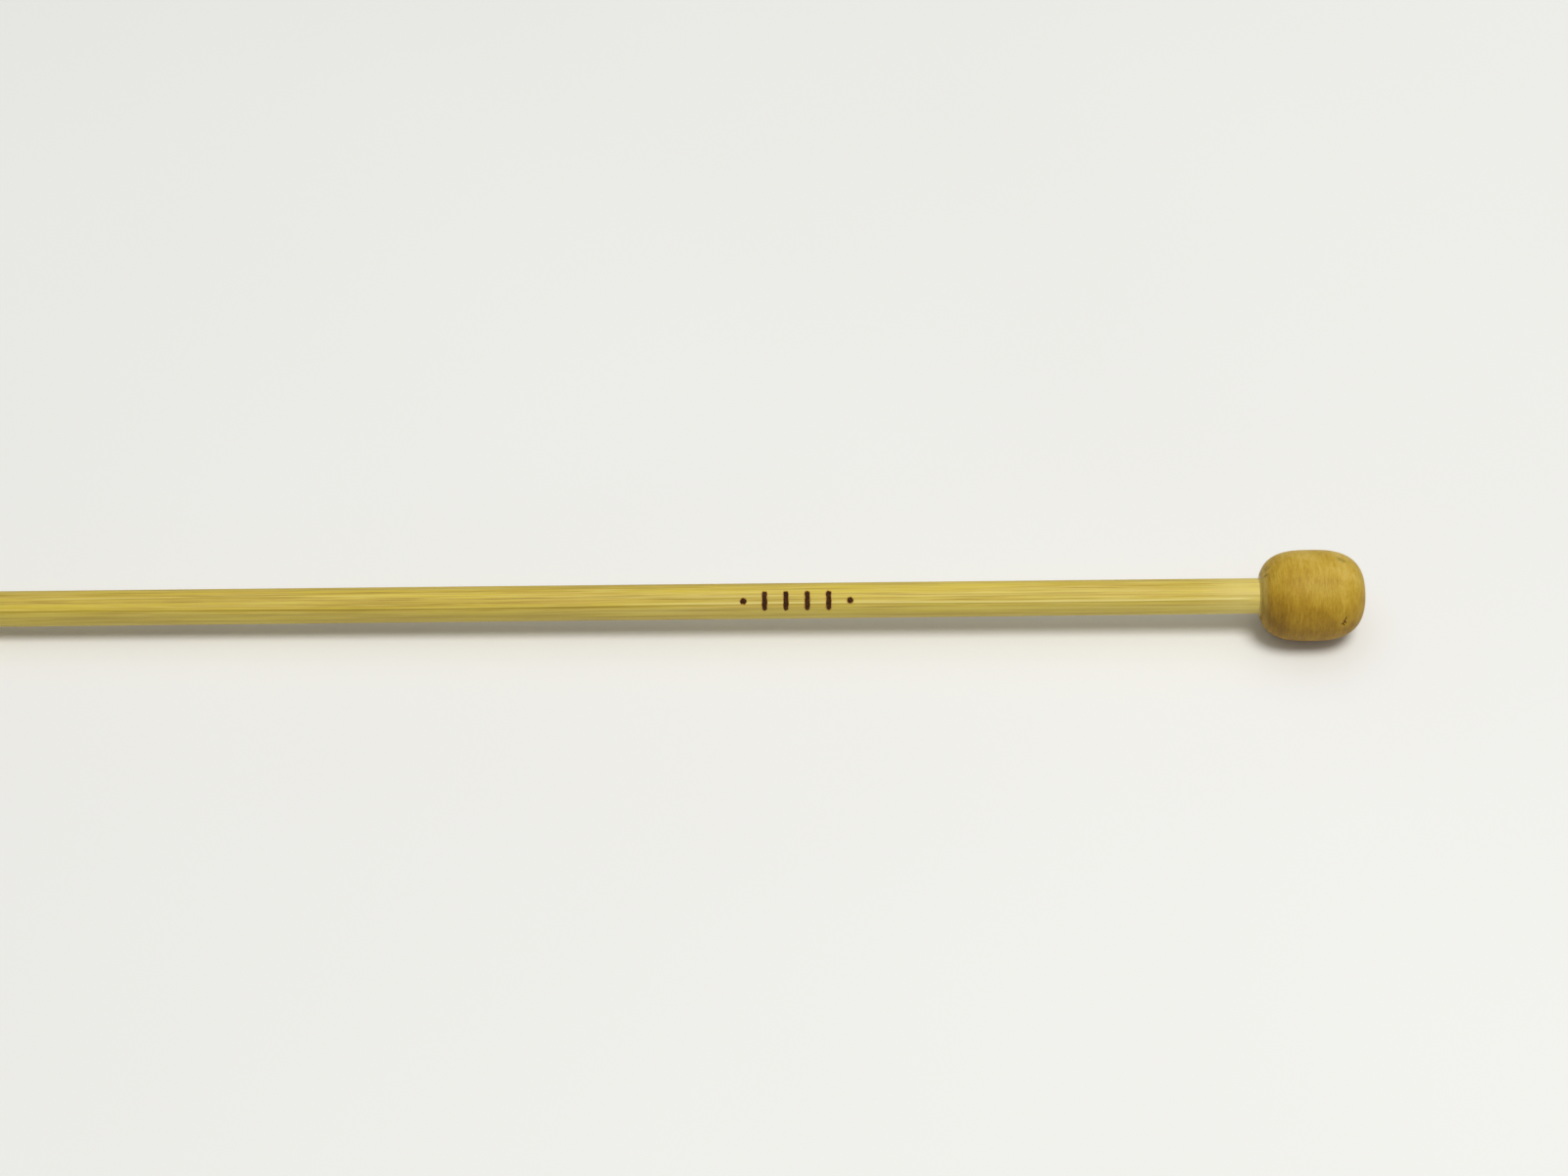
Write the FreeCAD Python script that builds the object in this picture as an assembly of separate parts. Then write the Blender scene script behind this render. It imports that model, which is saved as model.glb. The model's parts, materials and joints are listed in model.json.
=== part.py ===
import FreeCAD, Part
import math
import os

# Straight knitting needle: a bamboo shaft with a tapered point, glued into a turned wooden end knob.
#
# Frame, in millimetres: +X runs along the needle from the point towards the knob, and +Z is up.
# The origin is on the needle's axis, in the plane of the knob's inner end, so the working length
# lies along -X. The gauge mark on the shaft faces mark_angle from +Z towards -Y.
#
# The shaft's butt end is a slightly tapered tenon. It stands in a blind hole that was drilled into
# the knob and reamed to the same taper. A cup of glue fills the space between them, up to a small
# fillet at the hole's mouth.
# The gauge mark is burnt into the shaft with a hollow die that is a little flatter than the shaft.
# It leaves shallow pockets, deepest at their middles, with a layer of char on their floors.

# Overall sizes
overall_length = 350.0
shaft_diameter = 4.0
knob_length = 12.0
knob_diameter = 10.3

# Point
taper_half_angle = 6.5
tip_radius = 0.55
taper_blend_radius = 30.0

# Knob: each half is a superellipse turned about the axis, and a larger power is squarer
inner_half_power = 3.0
outer_half_power = 2.75

# Glued joint. bore_end_wall is the wood left past the reamed bore, with the drill's point in it
tenon_half_angle = 1.4
tenon_chamfer = 0.4
bore_clearance = 0.05
bore_end_gap = 0.3
bore_end_wall = 3.5
drill_point_angle = 118.0
countersink = 0.25
glue_fillet = 0.15
fillet_hollow = 0.3

# Gauge mark: one upright stroke for each millimetre of shaft diameter, between two dots
mark_from_knob = 52.0
mark_angle = 40.0
mark_pitch = 2.4
stroke_width = 0.45
stroke_height = 2.1
dot_diameter = 0.6
burn_depth = 0.14
die_flatness = 0.5
char_thickness = 0.04

# Construction
profile_points = 24
full_turn = 360.0
overshoot = 1.0

X_AXIS = FreeCAD.Vector(1, 0, 0)
ORIGIN = FreeCAD.Vector(0, 0, 0)

shaft_radius = shaft_diameter / 2
knob_half_length = knob_length / 2
knob_radius = knob_diameter / 2
tip_x = knob_length - overall_length
mouth_radius = shaft_radius + bore_clearance + countersink


def knob_profile_x(radius, power, side):
    """X of the knob's surface at a radius. side is -1 on the inner half and 1 on the outer half."""
    share = (1 - (radius / knob_radius) ** power) ** (1 / power)
    return knob_half_length * (1 + side * share)


# The hole's mouth is where the countersink meets the knob's inner end
mouth_x = knob_profile_x(mouth_radius, inner_half_power, -1)
bore_end_x = knob_length - bore_end_wall
butt_x = bore_end_x - bore_end_gap

# The gauge mark's places stand in a row, centred mark_from_knob away from the knob
mark_places = round(shaft_diameter) + 2
mark_run = mark_places * mark_pitch
mark_start_x = -mark_from_knob - mark_run / 2
burn_floor = shaft_radius - burn_depth
die_axis_depth = burn_depth + die_flatness


def point(x, radius):
    """A point of an outline, which lies in the XZ plane with the radius along +Z."""
    return FreeCAD.Vector(x, 0, radius)


def tenon_point(x, offset=0.0):
    """A point on the tenon's tapered side, or that far outside it."""
    taper = math.tan(math.radians(tenon_half_angle)) * (x - mouth_x)
    return point(x, shaft_radius - taper + offset)


def lines(*points):
    """Straight edges through the points, in order."""
    return [Part.LineSegment(a, b).toShape() for a, b in zip(points, points[1:])]


def turned(edges):
    """The solid that a closed outline sweeps when it is turned about the X axis."""
    face = Part.Face(Part.Wire(edges))
    solid = face.revolve(ORIGIN, X_AXIS, full_turn)
    return Part.makeSolid(solid) if solid.ShapeType == "Shell" else solid


def shaft_blank():
    """The whole rod before the gauge mark: round nose, cone, blend, cylinder, tenon and chamfer."""
    angle = math.radians(taper_half_angle)
    nose_centre = tip_x + tip_radius
    nose_end = point(nose_centre - tip_radius * math.sin(angle), tip_radius * math.cos(angle))
    nose_middle = (math.pi / 2 - angle) / 2
    nose_mid = point(
        nose_centre - tip_radius * math.cos(nose_middle), tip_radius * math.sin(nose_middle)
    )
    cone_length = (shaft_radius - nose_end.z) / math.tan(angle)
    corner_x = nose_end.x + cone_length
    blend_reach = taper_blend_radius * math.tan(angle / 2)
    blend_start = point(
        corner_x - blend_reach * math.cos(angle), shaft_radius - blend_reach * math.sin(angle)
    )
    blend_end = point(corner_x + blend_reach, shaft_radius)
    blend_mid = point(
        blend_end.x - taper_blend_radius * math.sin(angle / 2),
        shaft_radius - taper_blend_radius * (1 - math.cos(angle / 2)),
    )
    tip = point(tip_x, 0)
    edges = [
        Part.Arc(tip, nose_mid, nose_end).toShape(),
        Part.LineSegment(nose_end, blend_start).toShape(),
        Part.Arc(blend_start, blend_mid, blend_end).toShape(),
    ]
    edges += lines(
        blend_end,
        tenon_point(mouth_x),
        tenon_point(butt_x - tenon_chamfer),
        tenon_point(butt_x, -tenon_chamfer),
        point(butt_x, 0),
        tip,
    )
    return turned(edges)


def knob_half_edge(power, side):
    """Half of the knob's outline, from its end on the axis to its belly, as one smooth curve."""
    points = []
    for i in range(profile_points + 1):
        angle = math.pi / 2 * i / profile_points
        share = math.cos(angle) ** (2 / power)
        radius = knob_radius * math.sin(angle) ** (2 / power)
        points.append(point(knob_half_length * (1 + side * share), radius))
    curve = Part.BSplineCurve()
    curve.interpolate(
        Points=points,
        InitialTangent=FreeCAD.Vector(0, 0, 1),
        FinalTangent=FreeCAD.Vector(-side, 0, 0),
    )
    return curve.toShape()


def bore_points():
    """The blind hole's outline: its mouth, the countersink, the reamed taper and the drill's point."""
    bore_end = tenon_point(bore_end_x, bore_clearance)
    drill_point_depth = bore_end.z / math.tan(math.radians(drill_point_angle / 2))
    return [
        point(mouth_x, mouth_radius),
        tenon_point(mouth_x + countersink, bore_clearance),
        bore_end,
        point(bore_end_x + drill_point_depth, 0),
    ]


def bore_edges():
    """The blind hole's outline, flared out past its mouth so that it cuts the knob open."""
    open_x = -overshoot
    flare = point(open_x, mouth_radius + mouth_x - open_x)
    return lines(point(open_x, 0), flare, *bore_points(), point(open_x, 0))


def knob():
    """The turned knob with its countersunk blind hole."""
    inner = knob_half_edge(inner_half_power, -1)
    outer = knob_half_edge(outer_half_power, 1)
    axis = lines(point(0, 0), point(knob_length, 0))
    return turned([inner, outer] + axis).cut(turned(bore_edges()))


def glue_cup():
    """The cured glue round the tenon, with a hollow fillet at the hole's mouth."""
    fillet_start = point(mouth_x - glue_fillet, shaft_radius)
    corner = tenon_point(mouth_x)
    outline = bore_points()
    chord_middle = (fillet_start + outline[0]) * 0.5
    fillet_mid = chord_middle + (corner - chord_middle) * fillet_hollow
    edges = [Part.Arc(fillet_start, fillet_mid, outline[0]).toShape()]
    edges += lines(
        *outline,
        point(butt_x, 0),
        tenon_point(butt_x, -tenon_chamfer),
        tenon_point(butt_x - tenon_chamfer),
        corner,
        fillet_start,
    )
    return turned(edges)


def stroke_prism(x):
    """An upright stroke with round ends, as a tall prism that reaches out through the shaft's top."""
    half_run = (stroke_height - stroke_width) / 2
    box = Part.makeBox(
        stroke_width,
        2 * half_run,
        shaft_diameter,
        FreeCAD.Vector(x - stroke_width / 2, -half_run, 0),
    )
    ends = [
        Part.makeCylinder(stroke_width / 2, shaft_diameter, FreeCAD.Vector(x, y, 0))
        for y in (-half_run, half_run)
    ]
    return box.multiFuse(ends).removeSplitter()


def dot_prism(x):
    """A round dot, as a tall prism that reaches out through the shaft's top."""
    return Part.makeCylinder(dot_diameter / 2, shaft_diameter, FreeCAD.Vector(x, 0, 0))


def mark_prisms():
    """The gauge mark's dots and strokes in a row, turned to face mark_angle."""
    prisms = []
    for place in range(mark_places):
        x = mark_start_x + (place + 0.5) * mark_pitch
        at_end = place in (0, mark_places - 1)
        prism = dot_prism(x) if at_end else stroke_prism(x)
        prism.rotate(ORIGIN, X_AXIS, mark_angle)
        prisms.append(prism)
    return prisms


def die_rod(height):
    """The rod that the die's hollow face would fit, with its top that high above the needle's axis."""
    radius = height + die_axis_depth
    rod = Part.makeCylinder(
        radius, mark_run, FreeCAD.Vector(mark_start_x, 0, -die_axis_depth), X_AXIS
    )
    rod.rotate(ORIGIN, X_AXIS, mark_angle)
    return rod


def shaft_and_mark():
    """The shaft with the mark's pockets burnt into it, and the char on the pockets' floors."""
    blank = shaft_blank()
    char_top = die_rod(burn_floor + char_thickness)
    pockets = [prism.cut(die_rod(burn_floor)) for prism in mark_prisms()]
    char = [pocket.common(char_top).common(blank) for pocket in pockets]
    return blank.cut(pockets), Part.makeCompound([piece.Solids[0] for piece in char])


def write(name, shape):
    """Writes one node and prints its size, so that a build that goes wrong shows."""
    assert shape.isValid(), name
    solids = shape.Solids
    assert solids and all(s.isClosed() and s.Volume > 0 for s in solids), name
    shape.exportStep(os.path.join("parts", name + ".step"))
    box = shape.optimalBoundingBox(False, False)
    volume = sum(s.Volume for s in solids)
    print(
        f"{name}: {len(solids)} solid(s), {volume:.2f} mm3, "
        f"{box.XLength:.2f} x {box.YLength:.2f} x {box.ZLength:.2f} mm"
    )


os.makedirs("parts", exist_ok=True)
shaft, mark = shaft_and_mark()
write("shaft", shaft)
write("knob", knob())
write("glue_cup", glue_cup())
write("gauge_mark", mark)
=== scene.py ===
import json
import math
import bpy
import numpy as np
from mathutils import Matrix, Vector


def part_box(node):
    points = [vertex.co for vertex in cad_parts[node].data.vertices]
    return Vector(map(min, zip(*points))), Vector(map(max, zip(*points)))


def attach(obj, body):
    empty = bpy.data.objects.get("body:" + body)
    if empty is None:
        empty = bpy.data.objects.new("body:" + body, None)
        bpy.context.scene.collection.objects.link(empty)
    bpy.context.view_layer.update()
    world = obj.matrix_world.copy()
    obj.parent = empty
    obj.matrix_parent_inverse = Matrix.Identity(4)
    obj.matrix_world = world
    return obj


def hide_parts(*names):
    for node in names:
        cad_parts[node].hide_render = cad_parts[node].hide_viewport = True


# A straight bamboo knitting needle with a turned wooden knob, lying on a pale floor.
#
# Lengths are in metres. X runs along the needle's axis, from the point towards the knob. An angle
# round the axis is counted from +Z towards -Y, in degrees, so the gauge mark's angle is 40. Colours
# are linear RGB.

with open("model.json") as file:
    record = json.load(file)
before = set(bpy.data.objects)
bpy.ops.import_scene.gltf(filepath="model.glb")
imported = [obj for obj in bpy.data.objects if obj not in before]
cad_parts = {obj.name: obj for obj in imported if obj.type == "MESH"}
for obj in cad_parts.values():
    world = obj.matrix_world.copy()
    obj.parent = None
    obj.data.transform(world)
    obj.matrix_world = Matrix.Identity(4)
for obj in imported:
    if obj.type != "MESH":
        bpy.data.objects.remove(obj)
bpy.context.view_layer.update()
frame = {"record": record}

MM = 0.001

# ---------------------------------------------------------------- sizes

shaft_mount = next(m for m in frame["record"]["mounts"] if m["name"] == "shaft")
SHAFT_R = shaft_mount["dims"]["r_mm"] * MM
TIP_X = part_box("shaft")[0].x
BUTT_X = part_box("shaft")[1].x
MOUTH_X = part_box("knob")[0].x
TAPER_X = MOUTH_X - shaft_mount["dims"]["length_mm"] * MM
KNOB_END_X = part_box("knob")[1].x
KNOB_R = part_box("knob")[1].z
KNOB_MID_X = KNOB_END_X / 2
GLUE_START_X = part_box("glue_cup")[0].x
GLUE_POINT_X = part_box("glue_cup")[1].x
MOUTH_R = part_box("glue_cup")[1].z
MARK_START_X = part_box("gauge_mark")[0].x
MARK_END_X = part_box("gauge_mark")[1].x

# The CAD's own sizes that the frame doesn't give
TAPER_ANGLE = 6.5
TIP_R = 0.55 * MM
TAPER_BLEND_R = 30 * MM
INNER_POWER = 3.0
OUTER_POWER = 2.75
TENON_ANGLE = 1.4
TENON_CHAMFER = 0.4 * MM
BORE_CLEARANCE = 0.05 * MM
COUNTERSINK = 0.25 * MM
DRILL_ANGLE = 118.0

# The gauge mark, also as in the CAD
MARK_ANGLE = 40.0
STROKES = 4
STROKE_WIDTH = 0.45 * MM
STROKE_HEIGHT = 2.1 * MM
DOT_R = 0.3 * MM
BURN_DEPTH = 0.14 * MM
DIE_FLATNESS = 0.5 * MM
CHAR_THICKNESS = 0.04 * MM

# How the burning looks: the mark's uneven edge, the slope of a pocket's wall outside and inside
# that edge, and how far the scorching spreads
BURN_RAGGED = 0.02 * MM
WALL_OUTSIDE = 0.05 * MM
WALL_INSIDE = 0.03 * MM
SCORCH_FADE = 0.07 * MM
CHAR_COLUMNS = 13
CHAR_STEP = 0.04 * MM
CHAR_SINK = 0.01 * MM

# Lengthwise seams, where the two cutters that rounded the rod met: each has a ridge, then a flat
SEAM_ANGLES = (51.0, 231.0)
SEAM_DRIFT = 2.0
SEAM_DRIFT_LENGTH = 73 * MM
SEAM_FLAT = 46.0
SEAM_FLAT_SHARE = 0.5
SEAM_RIDGE = 0.02 * MM
SEAM_RIDGE_WIDTH = 2.2

# Where the painted highlight on the seams' ridges starts and is full, near the knob and again further
# down
SEAM_HIGHLIGHT_NEAR = (-78 * MM, -58 * MM)
SEAM_HIGHLIGHT_FAR = (-190 * MM, -215 * MM)

FIBRE_RELIEF = 0.006 * MM
FIBRE_ORDERS = (9, 14, 23, 31, 44, 58)

# Steps between the shaft's rings along X, the points in each of its arcs, and steps in degrees
# between its columns, near the mark and elsewhere
CONE_STEP = 0.5 * MM
PLAIN_STEP = 2.4 * MM
BETWEEN_STROKES_STEP = 0.25 * MM
STROKE_STEP = 0.03 * MM
TENON_STEP = 1.5 * MM
ARC_POINTS = 12
MARK_SECTOR = 38.0
MARK_COLUMN_STEP = 1.0
SHAFT_COLUMN_STEP = 2.0

# The knob's relief, and its rings and columns, which are closer together at the crack
LATHE_RINGS = 0.0025 * MM
KNOB_UNEVEN = 0.012 * MM
KNOB_INSET = 0.02 * MM
SPOT_DIMPLE = 0.07 * MM
BORE_STEP = 2 * MM
COUNTERSINK_STEP = 0.1 * MM
INNER_HALF_POINTS = 44
OUTER_HALF_POINTS = 64
CRACK_STEP = 0.022 * MM
CRACK_SECTOR = 11.0
CRACK_COLUMN_STEP = 0.28
KNOB_COLUMN_STEP = 1.5

GLUE_COLUMN_STEP = 3.0
GLUE_UNEVEN = 0.03 * MM
GLUE_CLEARANCE_SHARE = 0.98
FILLET_POINTS = 7
FILLET_HOLLOW = 0.05 * MM

FIBRE_SEED = 3
CHAR_SEED = 5
KNOB_SEED = 12
GLUE_SEED = 21

FLOOR_HALF = 2.5
SENSOR_WIDTH = 36
CAMERA_ELEVATION = 50.0
CAMERA_DISTANCE = 420 * MM
CAMERA_ROLL = 0.60
PICTURE_WIDTH = 176.8 * MM
PICTURE_MIDDLE_X = -53.4 * MM
PICTURE_MIDDLE_RISE = 1.45 * MM

# ---------------------------------------------------------------- shape helpers


def smoothstep(low, high, value):
    t = np.clip((value - low) / (high - low), 0, 1)
    return t * t * (3 - 2 * t)


def bell(value, middle, width):
    """A smooth bump that is 1 at its middle and fades out over about two widths."""
    return np.exp(-(((value - middle) / width) ** 2))


def wrapped(angle):
    """An angle in degrees, brought between -180 and 180."""
    return (angle + 180) % 360 - 180


def waves(seed, angles, xs, orders, drift):
    """A smooth, repeatable ripple round the axis, from -1 to 1, that changes slowly along X."""
    rng = np.random.default_rng(seed)
    total = np.zeros(np.broadcast(angles, xs).shape)
    for order in orders:
        phase, twist = rng.uniform(0, 2 * math.pi), rng.normal(0, drift)
        total = total + np.cos(order * np.radians(angles) + phase + twist * xs)
    return total / math.sqrt(len(orders))


def on_axis(x, radius, angle):
    """Points in space from X, a radius and an angle in degrees round the needle's axis."""
    x, radius, angle = np.broadcast_arrays(x, radius, np.radians(angle))
    return np.stack([x, -radius * np.sin(angle), radius * np.cos(angle)], axis=-1)


def arc(centre, radius, start, end, count):
    """Outline points (x, r) along an arc, from one angle to another in degrees."""
    angles = np.radians(np.linspace(start, end, count))
    return [(centre[0] + radius * math.cos(a), centre[1] + radius * math.sin(a)) for a in angles]


def straight(start, end, step):
    """Outline points (x, r) from start to just before end, about a step apart."""
    count = max(1, round(math.dist(start, end) / step))
    return [tuple(np.array(start) + (np.array(end) - start) * i / count) for i in range(count)]


def spread(stretches):
    """Sorted values that cover stretches of (low, high, step), each up to its own high."""
    values = [np.arange(low, high - step / 2, step) for low, high, step in stretches]
    return np.unique(np.concatenate(values).round(9))


def columns_round(middle, sector, fine, coarse):
    """Angles all the way round, close together within a sector on each side of a middle angle."""
    low, high = middle - sector, middle + sector
    return spread([(low, high, fine), (high, low + 360, coarse)])


def turned_mesh(name, outline, angles, shape):
    """A closed mesh turned from an outline whose first and last points are on the axis.

    The outline runs along +X on the outside, so that the faces point outwards. shape takes arrays
    of x, radius and angle, and returns the radius with its detail.
    """
    outline = np.array(outline)
    x = outline[1:-1, 0][:, None]
    radius = outline[1:-1, 1][:, None]
    angle = angles[None, :]
    rings, around = len(outline) - 2, len(angles)
    vertices = on_axis(x, shape(x, radius, angle), angle).reshape(-1, 3)
    poles = [(outline[0][0], 0, 0), (outline[-1][0], 0, 0)]
    first, last = len(vertices), len(vertices) + 1
    faces = []
    for ring in range(rings - 1):
        for k in range(around):
            a, b = ring * around + k, ring * around + (k + 1) % around
            faces.append((a, b, b + around, a + around))
    for k in range(around):
        after = (k + 1) % around
        end = (rings - 1) * around
        faces.append((first, after, k))
        faces.append((last, end + k, end + after))
    return new_mesh(name, np.vstack([vertices, poles]), faces)


def new_mesh(name, vertices, faces):
    mesh = bpy.data.meshes.new(name)
    mesh.from_pydata([tuple(v) for v in vertices], [], faces)
    mesh.validate()
    mesh.polygons.foreach_set("use_smooth", [True] * len(mesh.polygons))
    mesh.update()
    return mesh


def paint(mesh, name, values):
    """A number per vertex, which a material reads by name."""
    layer = mesh.attributes.new(name, "FLOAT", "POINT")
    layer.data.foreach_set("value", np.asarray(values, np.float32).ravel())


def positions(mesh):
    found = np.empty(len(mesh.vertices) * 3, np.float32)
    mesh.vertices.foreach_get("co", found)
    return found.reshape(-1, 3).astype(float)


def angles_of(points):
    return np.degrees(np.arctan2(-points[:, 1], points[:, 2]))


def add_piece(name, mesh, material, slot, *nodes):
    """Puts a mesh in the scene as a piece that stands for CAD nodes."""
    piece = bpy.data.objects.new(name, mesh)
    bpy.context.scene.collection.objects.link(piece)
    mesh.materials.append(material)
    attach(piece, "root")
    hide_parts(*nodes)
    return piece


# ---------------------------------------------------------------- node helpers


class Graph:
    """A material's node tree, with short calls for the nodes used here."""

    def __init__(self, name):
        self.material = bpy.data.materials.new(name)
        self.material.use_nodes = True
        self.tree = self.material.node_tree
        self.shader = self.tree.nodes["Principled BSDF"]

    def node(self, kind, **settings):
        made = self.tree.nodes.new(kind)
        for key, value in settings.items():
            setattr(made, key, value)
        return made

    def feed(self, socket, value):
        """Links a socket, or sets a plain value on it."""
        if isinstance(value, bpy.types.NodeSocket):
            self.tree.links.new(value, socket)
        else:
            socket.default_value = value

    def in_mm(self, stretch=(1, 1, 1), shift=(0, 0, 0)):
        """The piece's own coordinates in millimetres, stretched along each axis and then shifted."""
        place = self.node("ShaderNodeTexCoord")
        scaled = self.node("ShaderNodeMapping")
        scaled.inputs["Scale"].default_value = [share / MM for share in stretch]
        scaled.inputs["Location"].default_value = shift
        self.feed(scaled.inputs["Vector"], place.outputs["Object"])
        return scaled.outputs["Vector"]

    def noise(self, vector, scale, detail=2.0, roughness=0.5, distortion=0.0):
        made = self.node("ShaderNodeTexNoise")
        self.feed(made.inputs["Vector"], vector)
        made.inputs["Scale"].default_value = scale
        made.inputs["Detail"].default_value = detail
        made.inputs["Roughness"].default_value = roughness
        made.inputs["Distortion"].default_value = distortion
        return made.outputs["Fac"]

    def cells(self, vector, scale):
        """Distance to the nearest of many scattered points."""
        made = self.node("ShaderNodeTexVoronoi")
        self.feed(made.inputs["Vector"], vector)
        made.inputs["Scale"].default_value = scale
        return made.outputs["Distance"]

    def attribute(self, name):
        return self.node("ShaderNodeAttribute", attribute_name=name).outputs["Fac"]

    def maths(self, operation, first, second):
        made = self.node("ShaderNodeMath", operation=operation)
        self.feed(made.inputs[0], first)
        self.feed(made.inputs[1], second)
        return made.outputs["Value"]

    def weighted(self, *parts):
        """The sum of values that are each given with a weight."""
        products = [self.maths("MULTIPLY", value, weight) for value, weight in parts]
        total = products[0]
        for product in products[1:]:
            total = self.maths("ADD", total, product)
        return total

    def between(self, value, low, high, out_low=0.0, out_high=1.0):
        """Maps a value from one range to another with soft ends, and holds it inside."""
        made = self.node("ShaderNodeMapRange", interpolation_type="SMOOTHSTEP")
        self.feed(made.inputs["Value"], value)
        made.inputs["From Min"].default_value = low
        made.inputs["From Max"].default_value = high
        made.inputs["To Min"].default_value = out_low
        made.inputs["To Max"].default_value = out_high
        return made.outputs["Result"]

    def ramp(self, value, *stops):
        """A colour from a value, by stops of (place, colour)."""
        made = self.node("ShaderNodeValToRGB")
        elements = made.color_ramp.elements
        while len(elements) < len(stops):
            elements.new(0.5)
        for element, (place, colour) in zip(elements, stops):
            element.position = place
            element.color = (*colour, 1)
        self.feed(made.inputs["Fac"], value)
        return made.outputs["Color"]

    def mix(self, share, first, second, blend="MIX"):
        made = self.node("ShaderNodeMix", data_type="RGBA", blend_type=blend)
        self.feed(made.inputs["Factor"], share)
        for socket, colour in ((made.inputs[6], first), (made.inputs[7], second)):
            plain = isinstance(colour, tuple)
            self.feed(socket, (*colour, 1) if plain else colour)
        return made.outputs[2]

    def tinted(self, colour, share, strength, tint):
        """A colour moved towards a tint, by a share times a strength."""
        return self.mix(self.maths("MULTIPLY", share, strength), colour, tint)

    def surface(self, name, value):
        """Links or sets one of the shader's own sockets."""
        self.feed(self.shader.inputs[name], value)

    def bump(self, height, strength, distance):
        made = self.node("ShaderNodeBump")
        made.inputs["Strength"].default_value = strength
        made.inputs["Distance"].default_value = distance
        self.feed(made.inputs["Height"], height)
        self.surface("Normal", made.outputs["Normal"])


# ---------------------------------------------------------------- materials


def bamboo():
    """Split culm wood: long fibres with yellow, orange and pale streaks, darkest at the seams."""
    g = Graph("bamboo")
    wide = g.noise(g.in_mm(stretch=(0.012, 1, 1)), 0.8, detail=2)
    streaks = g.noise(g.in_mm(stretch=(0.010, 1, 1), shift=(3, 7, 1)), 3.6, detail=3, roughness=0.6)
    orange = g.noise(g.in_mm(stretch=(0.016, 1, 1), shift=(8, 1, 4)), 2.2, detail=3, roughness=0.6)
    pale = g.noise(g.in_mm(stretch=(0.010, 1, 1), shift=(1, 9, 6)), 4.4, detail=2, roughness=0.55)
    fine = g.noise(g.in_mm(stretch=(0.016, 1, 1), shift=(9, 2, 5)), 7, detail=3, roughness=0.7)
    patchy = g.noise(g.in_mm(stretch=(1, 3, 3), shift=(5, 5, 5)), 0.09, detail=3, roughness=0.6)
    bundles = g.between(g.cells(g.in_mm(stretch=(0.004, 1, 1)), 1.9), 0.06, 0.24, 1.0, 0.0)
    tone = g.weighted((wide, 0.25), (streaks, 0.9), (fine, 1.05))
    # The tone attribute also carries painted shade on the flats past the seams
    tone = g.maths("ADD", g.maths("SUBTRACT", tone, 0.4), g.attribute("tone"))
    colour = g.ramp(
        tone,
        (0.44, (0.38, 0.262, 0.038)),
        (0.61, (0.515, 0.375, 0.058)),
        (0.74, (0.60, 0.462, 0.082)),
        (0.92, (0.73, 0.595, 0.155)),
    )
    yellowed = g.maths("MULTIPLY", g.between(streaks, 0.47, 0.62), g.between(patchy, 0.3, 0.6))
    colour = g.tinted(colour, yellowed, 0.7, (0.63, 0.485, 0.046))
    ruddy = g.maths("MULTIPLY", g.between(orange, 0.50, 0.64), g.between(patchy, 0.62, 0.4))
    colour = g.tinted(colour, ruddy, 0.5, (0.60, 0.40, 0.078))
    colour = g.tinted(colour, g.between(pale, 0.55, 0.66), 0.5, (0.74, 0.61, 0.165))
    colour = g.tinted(colour, bundles, 0.22, (0.44, 0.30, 0.045))
    colour = g.tinted(colour, g.attribute("seam"), 0.85, (0.35, 0.25, 0.012))
    # Painted shade: the flats past the seams are mixed towards a darker, duller colour
    colour = g.mix(g.attribute("painted_flat_shade"), colour, (0.53, 0.435, 0.115))
    # Painted highlight along the seams' ridges; the same mask makes the rod paler just before the mouth
    colour = g.mix(g.attribute("seam_highlight_and_pale_end"), colour, (0.80, 0.68, 0.24))
    burnt = g.ramp(
        g.maths("ADD", g.attribute("scorch"), g.maths("MULTIPLY", fine, 0.2)),
        (0.16, (1, 1, 1)),
        (0.45, (0.74, 0.55, 0.40)),
        (0.8, (0.26, 0.12, 0.06)),
        (1.0, (0.09, 0.036, 0.016)),
    )
    colour = g.mix(1.0, colour, burnt, blend="MULTIPLY")
    g.surface("Base Color", colour)
    g.surface("Roughness", g.between(fine, 0.3, 0.7, 0.46, 0.6))
    g.surface("Specular IOR Level", 0.28)
    g.bump(g.maths("ADD", fine, g.maths("MULTIPLY", bundles, 0.5)), 0.3, 0.02 * MM)
    return g.material


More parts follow.
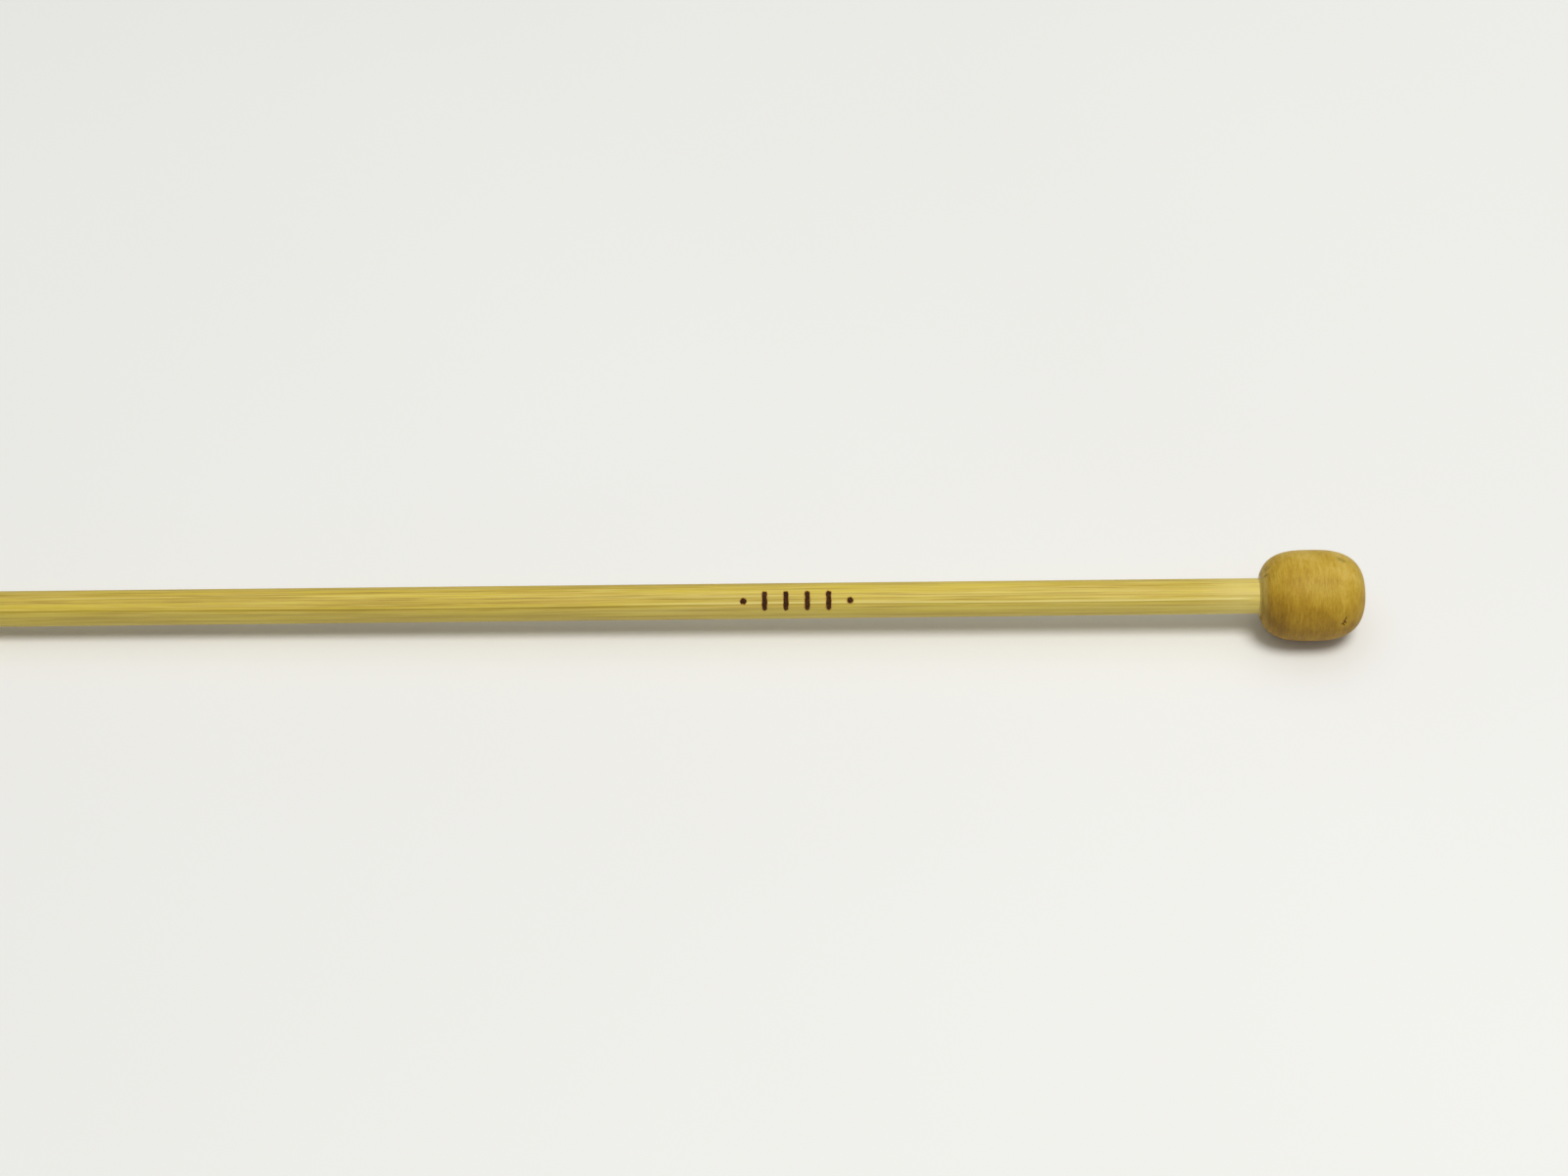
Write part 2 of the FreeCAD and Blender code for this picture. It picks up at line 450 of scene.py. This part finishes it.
def turned_hardwood():
    """Close-grained wood whose layers stand across the axis, so its streaks run round the knob."""
    g = Graph("turned_hardwood")
    blotches = g.noise(g.in_mm(shift=(2, 3, 5)), 0.3, detail=4, roughness=0.6)
    layers = g.noise(g.in_mm(stretch=(1, 0.14, 0.14), shift=(6, 2, 1)), 0.8, detail=3, distortion=0.4)
    streaks = g.noise(g.in_mm(stretch=(1, 0.1, 0.1), shift=(3, 8, 2)), 3.2, detail=3, roughness=0.6)
    flecks = g.noise(g.in_mm(stretch=(1, 0.3, 0.3), shift=(4, 1, 8)), 3.2, detail=4, roughness=0.65)
    fine = g.noise(g.in_mm(stretch=(1, 0.14, 0.14)), 8, detail=3, roughness=0.7)
    pores = g.between(g.cells(g.in_mm(stretch=(1, 0.3, 0.3)), 2.1), 0.05, 0.13, 1.0, 0.0)
    speck_cells = g.cells(g.in_mm(stretch=(1, 0.8, 0.8), shift=(2, 4, 7)), 0.8)
    specks = g.between(speck_cells, 0.03, 0.09, 1.0, 0.0)
    mottle = g.weighted((blotches, 0.44), (layers, 0.18), (streaks, 0.18), (flecks, 0.16), (fine, 0.36))
    # The tone attribute carries painted light and shade as well as the wood's own tone
    tone = g.maths("ADD", mottle, g.attribute("tone"))
    colour = g.ramp(
        tone,
        (0.35, (0.22, 0.115, 0.006)),
        (0.47, (0.31, 0.170, 0.011)),
        (0.60, (0.42, 0.252, 0.019)),
        (0.71, (0.515, 0.338, 0.038)),
        (0.83, (0.61, 0.43, 0.090)),
    )
    colour = g.mix(g.between(streaks, 0.55, 0.7, 0.0, 0.25), colour, (0.52, 0.28, 0.022))
    colour = g.mix(g.between(flecks, 0.58, 0.7, 0.0, 0.2), colour, (0.36, 0.22, 0.025))
    colour = g.tinted(colour, pores, 0.3, (0.30, 0.17, 0.03))
    colour = g.tinted(colour, specks, 0.5, (0.20, 0.12, 0.035))
    # Painted light: the mouth is made paler, following the streaks
    painted_mouth_light = g.maths("MULTIPLY", g.attribute("painted_mouth_light"), g.between(streaks, 0.35, 0.6, 0.55, 1.0))
    colour = g.mix(painted_mouth_light, colour, (0.66, 0.52, 0.15))
    marks = g.ramp(
        g.attribute("blemish"),
        (0.0, (1, 1, 1)),
        (0.25, (0.78, 0.80, 0.74)),
        (0.7, (0.30, 0.27, 0.22)),
    )
    colour = g.mix(1.0, colour, marks, blend="MULTIPLY")
    colour = g.mix(g.attribute("crack"), colour, (0.065, 0.018, 0.005))
    g.surface("Base Color", colour)
    g.surface("Roughness", g.between(fine, 0.3, 0.7, 0.5, 0.62))
    g.surface("Specular IOR Level", 0.2)
    g.bump(g.maths("SUBTRACT", fine, pores), 0.22, 0.02 * MM)
    return g.material


def char():
    """Matt burnt wood, from black to dark brown."""
    g = Graph("char")
    grain = g.noise(g.in_mm(stretch=(0.5, 1, 1)), 9, detail=4, roughness=0.7)
    colour = g.ramp(
        grain,
        (0.34, (0.020, 0.008, 0.003)),
        (0.52, (0.048, 0.018, 0.006)),
        (0.70, (0.15, 0.065, 0.020)),
    )
    g.surface("Base Color", colour)
    g.surface("Roughness", g.between(grain, 0.3, 0.7, 0.95, 0.8))
    g.surface("Specular IOR Level", 0.12)
    g.bump(grain, 0.6, 0.03 * MM)
    return g.material


def glue():
    """Cured glue: amber, a little cloudy and slightly glossy."""
    g = Graph("glue")
    cloud = g.noise(g.in_mm(), 2.5, detail=3)
    colour = g.ramp(cloud, (0.3, (0.44, 0.31, 0.060)), (0.7, (0.56, 0.43, 0.110)))
    g.surface("Base Color", colour)
    g.surface("Roughness", g.between(cloud, 0.3, 0.7, 0.28, 0.42))
    g.surface("IOR", 1.47)
    return g.material


# ---------------------------------------------------------------- gauge mark

PITCH = (MARK_END_X - MARK_START_X - 2 * DOT_R) / (STROKES + 1)
MARK_PLACES = [MARK_START_X + DOT_R + PITCH * i for i in range(STROKES + 2)]
DIE_AXIS_DEPTH = BURN_DEPTH + DIE_FLATNESS
DIE_R = SHAFT_R - BURN_DEPTH + DIE_AXIS_DEPTH


def is_dot(place):
    return place in (0, len(MARK_PLACES) - 1)


def half_run(place):
    """Half the straight part of a stroke's height, which is nothing for a dot."""
    return 0.0 if is_dot(place) else (STROKE_HEIGHT - STROKE_WIDTH) / 2


def half_width(place):
    return DOT_R if is_dot(place) else STROKE_WIDTH / 2


def mark_side(angle):
    """How far a point of the shaft's surface is to the side of the mark's middle line."""
    return SHAFT_R * np.sin(np.radians(angle - MARK_ANGLE))


def mark_distance(x, angle):
    """Distance outside the nearest burnt shape's slightly ragged edge, and below 0 inside it.

    The edge's waves run along X (u) and across the mark (v), which are in millimetres.
    """
    side = mark_side(angle)
    facing = np.cos(np.radians(angle - MARK_ANGLE)) > 0
    nearest = np.full(np.broadcast(x, angle).shape, 1.0)
    for place, place_x in enumerate(MARK_PLACES):
        along = np.maximum(np.abs(side) - half_run(place), 0)
        nearest = np.minimum(nearest, np.hypot(x - place_x, along) - half_width(place))
    u, v = x / MM, side / MM
    ragged = np.sin(13 * u + 5 * v + 0.7) + 0.9 * np.sin(7 * v - 19 * u + 2.1)
    ragged = ragged + 0.7 * np.sin(23 * v + 11 * u) * np.sin(9 * v - 5 * u + 0.4)
    return np.where(facing, nearest + BURN_RAGGED * ragged, 1.0)


def burn_floor(side, lift=0.0):
    """The radius and the angle of a burnt pocket's floor, at a place to the side of the mark's line."""
    height = np.sqrt((DIE_R + lift) ** 2 - side**2) - DIE_AXIS_DEPTH
    return np.hypot(height, side), MARK_ANGLE + np.degrees(np.arctan2(side, height))


def char_mesh():
    """The char on each pocket's floor: thin closed patches, rough on top and thinner at their edges."""
    vertices, faces = [], []
    rng = np.random.default_rng(CHAR_SEED)
    columns = CHAR_COLUMNS
    for place, place_x in enumerate(MARK_PLACES):
        reach = half_run(place) + half_width(place)
        rows = 2 * round(reach / CHAR_STEP) + 1
        side = reach * np.sin(np.linspace(-0.49, 0.49, rows) * math.pi)[:, None]
        past_run = np.maximum(np.abs(side) - half_run(place), 0)
        width = np.sqrt(np.maximum(half_width(place) ** 2 - past_run**2, 0)) * 1.03
        share = np.linspace(-1, 1, columns)[None, :]
        rough = rng.uniform(0.55, 1.2, (rows, columns))
        dome = (1 - share**6) * (1 - (past_run / half_width(place)) ** 6)
        lift = CHAR_THICKNESS * (0.3 + 0.7 * dome) * rough
        for layer in (lift, np.full_like(lift, -CHAR_SINK)):
            radius, angle = burn_floor(side, layer)
            x = place_x + share * width
            vertices += on_axis(x, radius, angle).reshape(-1, 3).tolist()
        faces += char_faces(len(vertices) - 2 * rows * columns, rows, columns)
    return new_mesh("gauge_mark", vertices, faces)


def char_faces(base, rows, columns):
    """The faces of one patch: a top, a bottom and the rim between them."""
    count = rows * columns
    faces = []
    for row in range(rows - 1):
        for column in range(columns - 1):
            a = base + row * columns + column
            quad = (a, a + 1, a + columns + 1, a + columns)
            faces.append(quad[::-1])
            faces.append(tuple(corner + count for corner in quad))
    rim = [base + column for column in range(columns)]
    rim += [base + row * columns + columns - 1 for row in range(1, rows)]
    rim += [base + (rows - 1) * columns + column for column in range(columns - 2, -1, -1)]
    rim += [base + row * columns for row in range(rows - 2, 0, -1)]
    for a, b in zip(rim, rim[1:] + rim[:1]):
        faces.append((a, b, b + count, a + count))
    return faces


# ---------------------------------------------------------------- shaft


def tenon_r(x):
    """The tapered tenon's radius at an X."""
    return SHAFT_R - math.tan(math.radians(TENON_ANGLE)) * (x - MOUTH_X)


def rod_stretches():
    """Stretches of the rod with the step between their rings, which is small at each burnt shape."""
    near = 0.5 * MM
    edges = [TAPER_X] + [x + side for x in MARK_PLACES for side in (-near, near)] + [MOUTH_X]
    steps = [PLAIN_STEP] + [STROKE_STEP, BETWEEN_STROKES_STEP] * len(MARK_PLACES)
    steps[-1] = PLAIN_STEP
    return zip(edges, edges[1:], steps)


def shaft_outline():
    """From the tip to the butt: nose, cone, blend, cylinder, tenon and chamfer."""
    nose = arc((TIP_X + TIP_R, 0), TIP_R, 180, 90 + TAPER_ANGLE, ARC_POINTS)
    blend_centre = (TAPER_X, SHAFT_R - TAPER_BLEND_R)
    blend = arc(blend_centre, TAPER_BLEND_R, 90 + TAPER_ANGLE, 90, ARC_POINTS)
    points = nose[:-1] + straight(nose[-1], blend[0], CONE_STEP) + blend[:-1]
    points += [(x, SHAFT_R) for x in spread(rod_stretches())]
    shoulder = BUTT_X - TENON_CHAMFER
    points += straight((MOUTH_X, SHAFT_R), (shoulder, tenon_r(shoulder)), TENON_STEP)
    points += [(shoulder, tenon_r(shoulder)), (BUTT_X, tenon_r(BUTT_X) - TENON_CHAMFER)]
    return points + [(BUTT_X, 0)]


def on_rod(x):
    """1 on the cylinder, fading to 0 where the point's taper starts, and 0 on the tenon."""
    return smoothstep(TAPER_X - 1 * MM, TAPER_X + 7 * MM, x) * (x < MOUTH_X)


def seam_turn(number, x, angle):
    """How far an angle is past a seam, which drifts a little along the rod."""
    drift = SEAM_DRIFT * np.sin(2 * math.pi * x / SEAM_DRIFT_LENGTH + 3.3 + number)
    return wrapped(angle - SEAM_ANGLES[number] - drift)


def shaft_shape(x, radius, angle):
    """The rod's seams and fibre relief, and the pockets burnt into it."""
    fibres = waves(FIBRE_SEED, angle, x, FIBRE_ORDERS, 6.0)
    detailed = radius + FIBRE_RELIEF * on_rod(x) * fibres
    for number in range(len(SEAM_ANGLES)):
        turn = seam_turn(number, x, angle)
        from_middle = np.radians(turn - SEAM_FLAT / 2)
        chord = math.cos(math.radians(SEAM_FLAT / 2)) / np.cos(np.clip(from_middle, -1, 1))
        inside = (turn > 0) & (turn < SEAM_FLAT)
        flat = np.where(inside, chord - 1, 0) * SEAM_FLAT_SHARE
        ridge = SEAM_RIDGE * bell(turn, -1, SEAM_RIDGE_WIDTH)
        detailed = detailed + on_rod(x) * (flat * SHAFT_R + ridge)
    in_reach = np.clip(mark_side(angle), -STROKE_HEIGHT, STROKE_HEIGHT)
    floor, _ = burn_floor(in_reach)
    burnt = smoothstep(WALL_OUTSIDE, -WALL_INSIDE, mark_distance(x, angle))
    return detailed + burnt * (np.minimum(floor, detailed) - detailed)


def paint_shaft(mesh):
    """Scorching round the mark, a rod that darkens towards its point, and lines along the seams.

    The seams' ridges get a painted highlight near the knob and again further down. Past each seam,
    its flat is painted darker as painted shade, ends in a dark line and has a lighter stretch beyond
    it. The same highlight mask also makes the rod paler just before the mouth.
    """
    points = positions(mesh)
    x, angle = points[:, 0], angles_of(points)
    paint(mesh, "scorch", np.exp(-np.maximum(mark_distance(x, angle), 0) / SCORCH_FADE))
    seam, painted_flat_shade, seam_highlight_and_pale_end = np.zeros((3, len(points)))
    tone = 0.12 * smoothstep(-90 * MM, -15 * MM, x) - 0.075
    highlit = smoothstep(*SEAM_HIGHLIGHT_NEAR, x) + smoothstep(*SEAM_HIGHLIGHT_FAR, x)
    for number in range(len(SEAM_ANGLES)):
        turn = seam_turn(number, x, angle)
        before_far_side = smoothstep(SEAM_FLAT + 14, SEAM_FLAT, turn)
        # Painted highlight: a bright line just before each seam's ridge, near the knob and further down
        seam_highlight_and_pale_end += 0.75 * highlit * bell(turn, -3.2, 3.2)
        # Painted shade: the flat past each seam is made darker, here in its tone and below in its own
        # mask
        tone -= 0.04 * smoothstep(11, 16, turn) * before_far_side
        tone -= 0.10 * bell(turn, SEAM_FLAT - 2, 3.0)
        tone += 0.07 * bell(turn, SEAM_FLAT + 12, 8.0)
        seam += (0.95 - 0.25 * highlit) * bell(turn, 1.2, 2.2)
        # Painted shade on the flat past the seam
        painted_flat_shade += 0.35 * smoothstep(2, 20, turn) * before_far_side
    rod = on_rod(x)
    paint(mesh, "tone", tone * rod)
    paint(mesh, "seam", seam * rod)
    paint(mesh, "painted_flat_shade", painted_flat_shade * rod)
    # Painted highlight along the seams, and paler over the last few millimetres before the mouth
    paint(mesh, "seam_highlight_and_pale_end", seam_highlight_and_pale_end * rod + 0.35 * smoothstep(-8 * MM, -1 * MM, x))


def make_shaft(material):
    angles = columns_round(MARK_ANGLE, MARK_SECTOR, MARK_COLUMN_STEP, SHAFT_COLUMN_STEP)
    mesh = turned_mesh("shaft", shaft_outline(), angles, shaft_shape)
    paint_shaft(mesh)
    return add_piece("shaft_visual", mesh, material, "bamboo", "shaft")


# ---------------------------------------------------------------- knob

# Small faults in the wood. The crack's lines run from point to point, each (along X, round the knob)
# in millimetres from the crack's own place. The spots are each (X, angle, size, darkness)
CRACK_X, CRACK_ANGLE = 9.17 * MM, 78.3
CRACK_LINES = (
    ((0.20, -0.60), (0.17, -0.38), (0.04, -0.18), (0.01, 0.06), (-0.12, 0.24), (-0.36, 0.33)),
    ((-0.12, 0.24), (-0.03, 0.42), (0.01, 0.62)),
    ((0.01, 0.06), (0.17, 0.14), (0.24, 0.28)),
)
CRACK_REACH = 0.62 * MM
CRACK_WIDTH = 0.09 * MM
CRACK_DEPTH = 0.1 * MM
CRACK_TAPER = 0.55
CRACK_TAPER_REACH = 0.7 * MM
SPOTS = (
    (9.05 * MM, -15.0, 0.7 * MM, 0.34),
    (8.82 * MM, -18.5, 0.13 * MM, 0.5),
    (9.32 * MM, -12.5, 0.16 * MM, 0.6),
    (0.75 * MM, -21.0, 0.24 * MM, 0.42),
    (0.85 * MM, -14.0, 0.36 * MM, 0.28),
    (0.62 * MM, -3.0, 0.28 * MM, 0.48),
    (7.6 * MM, 200.0, 0.2 * MM, 0.45),
    (3.1 * MM, 131.0, 0.12 * MM, 0.4),
    (10.6 * MM, 290.0, 0.16 * MM, 0.35),
)


def knob_r(x):
    """The knob's nominal radius at an X."""
    share = np.abs(x - KNOB_MID_X) / KNOB_MID_X
    power = np.where(x < KNOB_MID_X, INNER_POWER, OUTER_POWER)
    return KNOB_R * np.maximum(1 - share**power, 0) ** (1 / power)


def knob_curve(power, side, start, end, count):
    """Points of one half of the knob's outline, between two curve angles in degrees."""
    points = []
    for angle in np.radians(np.linspace(start, end, count)):
        share = math.cos(angle) ** (2 / power)
        points.append((KNOB_MID_X * (1 + side * share), KNOB_R * math.sin(angle) ** (2 / power)))
    return points


def knob_outline():
    """From the drill's point, out along the bore, and over the outside to the far end's middle."""
    rim_angle = math.degrees(math.asin((MOUTH_R / KNOB_R) ** (INNER_POWER / 2)))
    sink_x = MOUTH_X + COUNTERSINK
    sink = (sink_x, tenon_r(sink_x) + BORE_CLEARANCE)
    outer = knob_curve(OUTER_POWER, 1, 90, 0, OUTER_HALF_POINTS)
    fine = spread([(CRACK_X - CRACK_REACH, CRACK_X + CRACK_REACH, CRACK_STEP)])
    points = [(GLUE_POINT_X, 0)]
    points += straight(bore_end(), sink, BORE_STEP)
    points += straight(sink, (MOUTH_X, MOUTH_R), COUNTERSINK_STEP)
    points += knob_curve(INNER_POWER, -1, rim_angle, 90, INNER_HALF_POINTS)[:-1]
    points += [p for p in outer if p[0] < CRACK_X - CRACK_REACH]
    points += [(x, float(knob_r(x))) for x in fine]
    return points + [p for p in outer if p[0] > CRACK_X + CRACK_REACH]


def bore_end():
    """The outline point where the reamed bore meets the drill's point."""
    slope = math.tan(math.radians(TENON_ANGLE))
    steep = math.tan(math.radians(DRILL_ANGLE / 2))
    reach = (SHAFT_R + BORE_CLEARANCE - slope * (GLUE_POINT_X - MOUTH_X)) / (steep - slope)
    x = GLUE_POINT_X - reach
    return (x, tenon_r(x) + BORE_CLEARANCE)


def from_place(x, angle, place_x, place_angle):
    """How far points of the knob's surface are from a place on it: along X, and round the knob."""
    return x - place_x, np.radians(wrapped(angle - place_angle)) * knob_r(place_x)


def crack_distance(x, angle):
    """Distance to the nearest line of the crack, which counts as further towards the lines' ends."""
    along, around = from_place(x, angle, CRACK_X, CRACK_ANGLE)
    nearest = np.full(np.broadcast(x, angle).shape, 1.0)
    for line in CRACK_LINES:
        for start, end in zip(line, line[1:]):
            ax, ay = start[0] * MM, start[1] * MM
            bx, by = end[0] * MM - ax, end[1] * MM - ay
            t = np.clip(((along - ax) * bx + (around - ay) * by) / (bx * bx + by * by), 0, 1)
            nearest = np.minimum(nearest, np.hypot(along - ax - t * bx, around - ay - t * by))
    reach = np.clip(np.hypot(along, around) / CRACK_TAPER_REACH, 0, 1)
    return nearest / (1 - CRACK_TAPER * reach)


def spot_depths(x, angle):
    """For each spot, how far inside its uneven edge a point is: 1 at its middle, 0 outside it."""
    for spot_x, spot_angle, size, darkness in SPOTS:
        along, around = from_place(x, angle, spot_x, spot_angle)
        bearing = np.arctan2(around, along)
        edge = 1 + 0.25 * np.sin(2 * bearing + spot_angle) + 0.15 * np.sin(5 * bearing + spot_angle)
        yield smoothstep(size, 0, np.hypot(along, around) * edge), darkness


def knob_shape(x, radius, angle):
    """Slight lathe rings and unevenness, the crack's groove and a dimple at each spot."""
    outside = radius > knob_r(x) * 0.97
    rings = LATHE_RINGS * np.sin(x / MM * 21 + np.sin(x / MM * 5))
    uneven = KNOB_UNEVEN * waves(KNOB_SEED, angle, x, (2, 3, 5), 90.0)
    groove = CRACK_DEPTH * smoothstep(CRACK_WIDTH * 1.6, 0, crack_distance(x, angle))
    detailed = radius + outside * (rings + uneven - KNOB_INSET - groove)
    for depth, darkness in spot_depths(x, angle):
        detailed = detailed - outside * SPOT_DIMPLE * darkness * depth
    return detailed


def paint_knob(mesh):
    """Where the wood is cracked or spotted, its tone, and its painted light and shade: paler at the
    mouth, lighter at the top, darker on the front towards the mouth.
    """
    points = positions(mesh)
    x, angle = points[:, 0], angles_of(points)
    from_axis = np.hypot(points[:, 1], points[:, 2])
    outside = from_axis > knob_r(x) * 0.95
    crack = smoothstep(CRACK_WIDTH * 1.3, CRACK_WIDTH * 0.4, crack_distance(x, angle))
    paint(mesh, "crack", crack * outside)
    blemish = np.zeros(len(points))
    for depth, darkness in spot_depths(x, angle):
        blemish = np.maximum(blemish, darkness * np.minimum(depth * 1.6, 1))
    paint(mesh, "blemish", blemish * outside)
    # Painted light: a paler ring at the mouth, strongest on the side facing up and towards -Y
    paint(mesh, "painted_mouth_light", (0.15 + 0.6 * bell(angle, 25, 55)) * smoothstep(1.0 * MM, 0.1 * MM, x))
    growth_line = bell(x, 2.3 * MM, 0.16 * MM) * (0.3 + 0.7 * bell(angle, 45, 35))
    # Painted light and shade: lighter towards the top and back, darker towards the bottom and front
    painted_top_light = np.cos(np.radians(angle + 40)) * from_axis / KNOB_R
    # Painted shade: darker on the front (-Y) side, most towards the mouth
    painted_front_shade = bell(angle, 65, 50) * smoothstep(8.5 * MM, 1.5 * MM, x)
    inner_band = smoothstep(2.5 * MM, 2.2 * MM, x)
    tone = 0.13 * painted_top_light - 0.145 * painted_front_shade - 0.025 * inner_band - 0.04 * growth_line - 0.03
    paint(mesh, "tone", tone)


def make_knob(material):
    angles = columns_round(CRACK_ANGLE, CRACK_SECTOR, CRACK_COLUMN_STEP, KNOB_COLUMN_STEP)
    mesh = turned_mesh("knob", knob_outline(), angles, knob_shape)
    paint_knob(mesh)
    return add_piece("knob_visual", mesh, material, "knob_wood", "knob")


# ---------------------------------------------------------------- glue


def glue_outline():
    """From the butt's middle out along the tenon, over the fillet and back along the bore."""
    sink = MOUTH_X + COUNTERSINK
    shoulder = BUTT_X - TENON_CHAMFER
    share = np.linspace(0, 1, FILLET_POINTS)
    fillet_x = GLUE_START_X + (MOUTH_X - GLUE_START_X) * share
    fillet_r = SHAFT_R + (MOUTH_R - SHAFT_R) * share - 4 * FILLET_HOLLOW * share * (1 - share)
    points = [(BUTT_X, 0), (BUTT_X, tenon_r(BUTT_X) - TENON_CHAMFER), (shoulder, tenon_r(shoulder))]
    points += [(MOUTH_X, SHAFT_R)] + list(zip(fillet_x, fillet_r))
    points += [(sink, tenon_r(sink) + BORE_CLEARANCE * GLUE_CLEARANCE_SHARE), bore_end()]
    return points + [(GLUE_POINT_X, 0)]


def glue_shape(x, radius, angle):
    """The fillet is a little fuller in some places than in others."""
    proud = (x < MOUTH_X) & (radius > SHAFT_R)
    return radius + proud * GLUE_UNEVEN * waves(GLUE_SEED, angle, x, (1, 2, 4, 7), 0.0)


def make_glue(material):
    angles = np.arange(0, 360, GLUE_COLUMN_STEP)
    mesh = turned_mesh("glue_cup", glue_outline(), angles, glue_shape)
    return add_piece("glue_visual", mesh, material, "wood_glue", "glue_cup")


# ---------------------------------------------------------------- floor, light and camera


def make_floor():
    """A pale floor that the knob's belly and the start of the point's taper both touch."""
    slope = (KNOB_R - SHAFT_R) / (KNOB_MID_X - TAPER_X)
    belly = knob_curve(INNER_POWER, -1, 60, 90, 200)
    drop = max(r - slope * x for x, r in belly + [(TAPER_X, SHAFT_R)])
    sides = ((-1, -1), (1, -1), (1, 1), (-1, 1))
    ground = [(x * FLOOR_HALF, y * FLOOR_HALF) for x, y in sides]
    corners = [(x, y, -slope * x - drop) for x, y in ground]
    mesh = new_mesh("floor", corners, [(0, 1, 2, 3)])
    g = Graph("floor")
    cloud = g.noise(g.in_mm(), 0.01, detail=2)
    g.surface("Base Color", g.ramp(cloud, (0.3, (0.835, 0.833, 0.808)), (0.7, (0.85, 0.85, 0.828))))
    g.surface("Roughness", 0.6)
    g.surface("Specular IOR Level", 0.2)
    mesh.materials.append(g.material)
    floor = bpy.data.objects.new("floor", mesh)
    bpy.context.scene.collection.objects.link(floor)


def area_light(name, place, target, size, power, colour):
    """A round light of a size in metres and a power in watts, at a place and aimed at a target."""
    data = bpy.data.lights.new(name, "AREA")
    data.shape = "DISK"
    data.size = size
    data.energy = power
    data.color = colour
    light = bpy.data.objects.new(name, data)
    light.location = place
    light.rotation_euler = (target - Vector(place)).to_track_quat("-Z", "Y").to_euler()
    bpy.context.scene.collection.objects.link(light)


def make_lights():
    """A round key light above, a wide soft panel over the whole scene, and an even surround."""
    world = bpy.data.worlds.new("studio")
    bpy.context.scene.world = world
    world.use_nodes = True
    background = world.node_tree.nodes["Background"]
    background.inputs["Color"].default_value = (0.97, 0.985, 1.0, 1)
    background.inputs["Strength"].default_value = 0.31
    middle = Vector((PICTURE_MIDDLE_X, 0, 0))
    area_light("key", (0.2, -0.2, 1.0), middle, 0.42, 6.9, (1.0, 0.985, 0.95))
    area_light("panel", (PICTURE_MIDDLE_X, 0.3, 2.0), middle, 3.0, 9.5, (0.97, 0.985, 1.0))


def make_camera():
    """Looks down at the needle from the -Y side, rolled a little, with PICTURE_WIDTH across."""
    data = bpy.data.cameras.new("camera")
    data.sensor_width = SENSOR_WIDTH
    data.lens = data.sensor_width * CAMERA_DISTANCE / PICTURE_WIDTH
    data.clip_start = 0.01
    camera = bpy.data.objects.new("camera", data)
    lift = math.radians(CAMERA_ELEVATION)
    back = Vector((0, -math.cos(lift), math.sin(lift)))
    up = Vector((0, math.sin(lift), math.cos(lift)))
    aim = Vector((PICTURE_MIDDLE_X, 0, 0)) + up * PICTURE_MIDDLE_RISE
    turn = Matrix.Rotation(math.radians(-CAMERA_ROLL), 4, back)
    right = turn @ Vector((1, 0, 0))
    up = turn @ up
    basis = Matrix((right, up, back)).transposed().to_4x4()
    camera.matrix_world = Matrix.Translation(aim + back * CAMERA_DISTANCE) @ basis
    bpy.context.scene.collection.objects.link(camera)
    bpy.context.scene.camera = camera


# ---------------------------------------------------------------- making


make_camera()
make_shaft(bamboo())
make_knob(turned_hardwood())
make_glue(glue())
add_piece("mark_visual", char_mesh(), char(), "char", "gauge_mark")
make_floor()
make_lights()
bpy.context.scene.view_settings.view_transform = "Standard"
